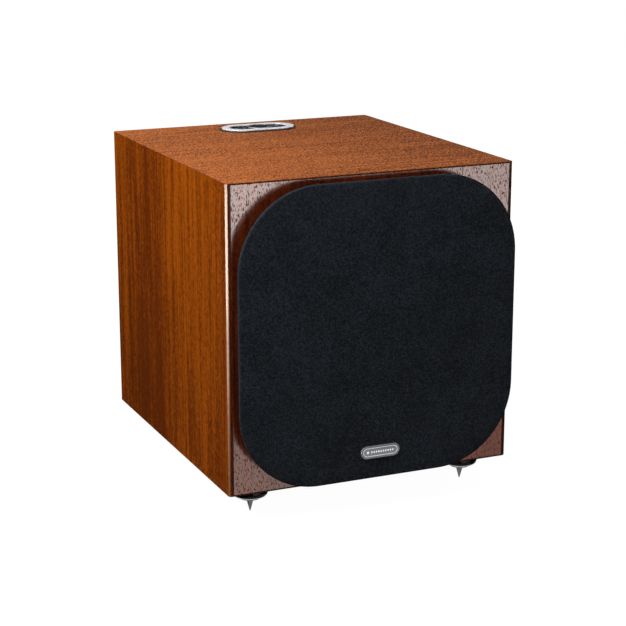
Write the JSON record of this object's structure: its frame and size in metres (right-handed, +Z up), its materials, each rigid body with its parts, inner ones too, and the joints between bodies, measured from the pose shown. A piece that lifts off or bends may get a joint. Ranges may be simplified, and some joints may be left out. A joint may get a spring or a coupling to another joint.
{
  "type": "powered subwoofer",
  "caption": "Powered bass loudspeaker: wood-veneered box with a magnetic cloth grille, sprung cone, top volume dial, rear amplifier panel and levelling spikes.",
  "frame": {"origin": "on the floor, at the centre of the object's outer box", "axes": "+Z up, -Y out of the grille (the front), +X to the right of someone who faces the grille"},
  "size_m": [0.36, 0.4396, 0.4025],
  "materials": {
    "veneer": "high-gloss lacquered veneer on fibreboard",
    "board": "raw fibreboard",
    "cast_alloy": "black powder coat on a die casting",
    "cone": "anodised",
    "rubber": "matt",
    "spider": "resin-dipped cotton",
    "former": "glass fibre",
    "copper": "enamelled copper wire",
    "steel": "turned, plated",
    "ferrite": "sintered ferrite",
    "black_plastic": "moulded, fine grain",
    "cloth": "fine black knit stretched over the frame",
    "badge": "satin",
    "silver": "satin anodised",
    "gloss_black": "polished",
    "circuit": "solder mask",
    "amp_plate": "black anodised",
    "foam": "closed-cell foam",
    "gold": "gold plated",
    "wadding": "loose polyester fibre",
    "cable": "insulated wire"
  },
  "bodies": {
    "cabinet": {"top_panel": "veneer", "bottom_panel": "veneer", "left_side_panel": "veneer", "right_side_panel": "veneer", "front_baffle": "veneer", "back_panel": "veneer", "window_brace": "board", "driver_basket": "cast_alloy", "surround": "rubber", "spider": "spider", "top_plate": "steel", "magnet": "ferrite", "pole_yoke": "steel", "driver_trim_ring": "rubber", "driver_terminal": "black_plastic", "control_tray": "black_plastic", "control_bezel": "silver", "control_fascia": "gloss_black", "control_board": "circuit", "dial_encoder": "steel", "amp_plate": "amp_plate", "amp_gasket": "foam", "amp_housing": "black_plastic", "amp_board": "circuit", "power_transformer": "copper", "heatsink": "silver", "mains_inlet": "black_plastic", "rocker_frame": "black_plastic", "line_in_left": "gold", "line_in_right": "gold", "lfe_input": "gold", "trigger_jack": "silver", "foot_cup_front_left": "gloss_black", "foot_cup_rear_left": "gloss_black", "foot_cup_front_right": "gloss_black", "foot_cup_rear_right": "gloss_black", "acoustic_wadding": "wadding", "speaker_lead": "cable", "control_cable": "cable"},
    "grille": {"grille_frame": "black_plastic", "grille_cloth": "cloth", "badge": "badge"},
    "cone_assembly": {"cone": "cone", "dust_cap": "cone", "voice_coil_former": "former", "voice_coil": "copper"},
    "volume_dial": {"volume_dial": "silver"},
    "standby_button": {"standby_button": "gloss_black"},
    "source_button": {"source_button": "gloss_black"},
    "preset_button": {"preset_button": "gloss_black"},
    "power_rocker": {"power_rocker": "black_plastic"},
    "fuse_drawer": {"fuse_drawer": "black_plastic"},
    "crossover_knob": {"crossover_knob": "black_plastic"},
    "phase_switch": {"phase_switch": "black_plastic"},
    "auto_switch": {"auto_switch": "black_plastic"},
    "spike_front_left": {"spike_front_left": "steel"},
    "spike_rear_left": {"spike_rear_left": "steel"},
    "spike_front_right": {"spike_front_right": "steel"},
    "spike_rear_right": {"spike_rear_right": "steel"}
  },
  "joints": [
    {"name": "grille_pull", "type": "slide", "parent": "cabinet", "child": "grille", "axis": [0, -1, 0], "range_m": [0, 0.08]},
    {"name": "cone_excursion", "type": "slide", "parent": "cabinet", "child": "cone_assembly", "axis": [0, -1, 0], "range_m": [-0.01, 0.01], "stiffness_N_per_m": 4500, "deforming": ["surround", "spider"]},
    {"name": "volume_turn", "type": "hinge", "parent": "cabinet", "child": "volume_dial", "pos_m": [0, 0.15275, 0.3989], "axis": [0, 0, 1], "continuous": true},
    {"name": "standby_press", "type": "slide", "parent": "cabinet", "child": "standby_button", "axis": [0, 0, -1], "range_m": [0, 0.0008], "stiffness_N_per_m": 600},
    {"name": "source_press", "type": "slide", "parent": "cabinet", "child": "source_button", "axis": [0, 0, -1], "range_m": [0, 0.0008], "stiffness_N_per_m": 600},
    {"name": "preset_press", "type": "slide", "parent": "cabinet", "child": "preset_button", "axis": [0, 0, -1], "range_m": [0, 0.0008], "stiffness_N_per_m": 600},
    {"name": "power_rock", "type": "hinge", "parent": "cabinet", "child": "power_rocker", "pos_m": [0.1, 0.20675, 0.1664], "axis": [1, 0, 0], "range_deg": [-16, 0]},
    {"name": "fuse_drawer_slide", "type": "slide", "parent": "cabinet", "child": "fuse_drawer", "axis": [0, 1, 0], "range_m": [0, 0.018]},
    {"name": "crossover_turn", "type": "hinge", "parent": "cabinet", "child": "crossover_knob", "pos_m": [0, 0.20675, 0.2764], "axis": [0, 1, 0], "range_deg": [-140, 140]},
    {"name": "phase_slide", "type": "slide", "parent": "cabinet", "child": "phase_switch", "axis": [1, 0, 0], "range_m": [0, 0.006]},
    {"name": "auto_slide", "type": "slide", "parent": "cabinet", "child": "auto_switch", "axis": [1, 0, 0], "range_m": [-0.003, 0.003]},
    {"name": "spike_front_left_level", "type": "slide", "parent": "cabinet", "child": "spike_front_left", "axis": [0, 0, 1], "range_m": [-0.008, 0]},
    {"name": "spike_rear_left_level", "type": "slide", "parent": "cabinet", "child": "spike_rear_left", "axis": [0, 0, 1], "range_m": [-0.008, 0]},
    {"name": "spike_front_right_level", "type": "slide", "parent": "cabinet", "child": "spike_front_right", "axis": [0, 0, 1], "range_m": [-0.008, 0]},
    {"name": "spike_rear_right_level", "type": "slide", "parent": "cabinet", "child": "spike_rear_right", "axis": [0, 0, 1], "range_m": [-0.008, 0]}
  ]
}
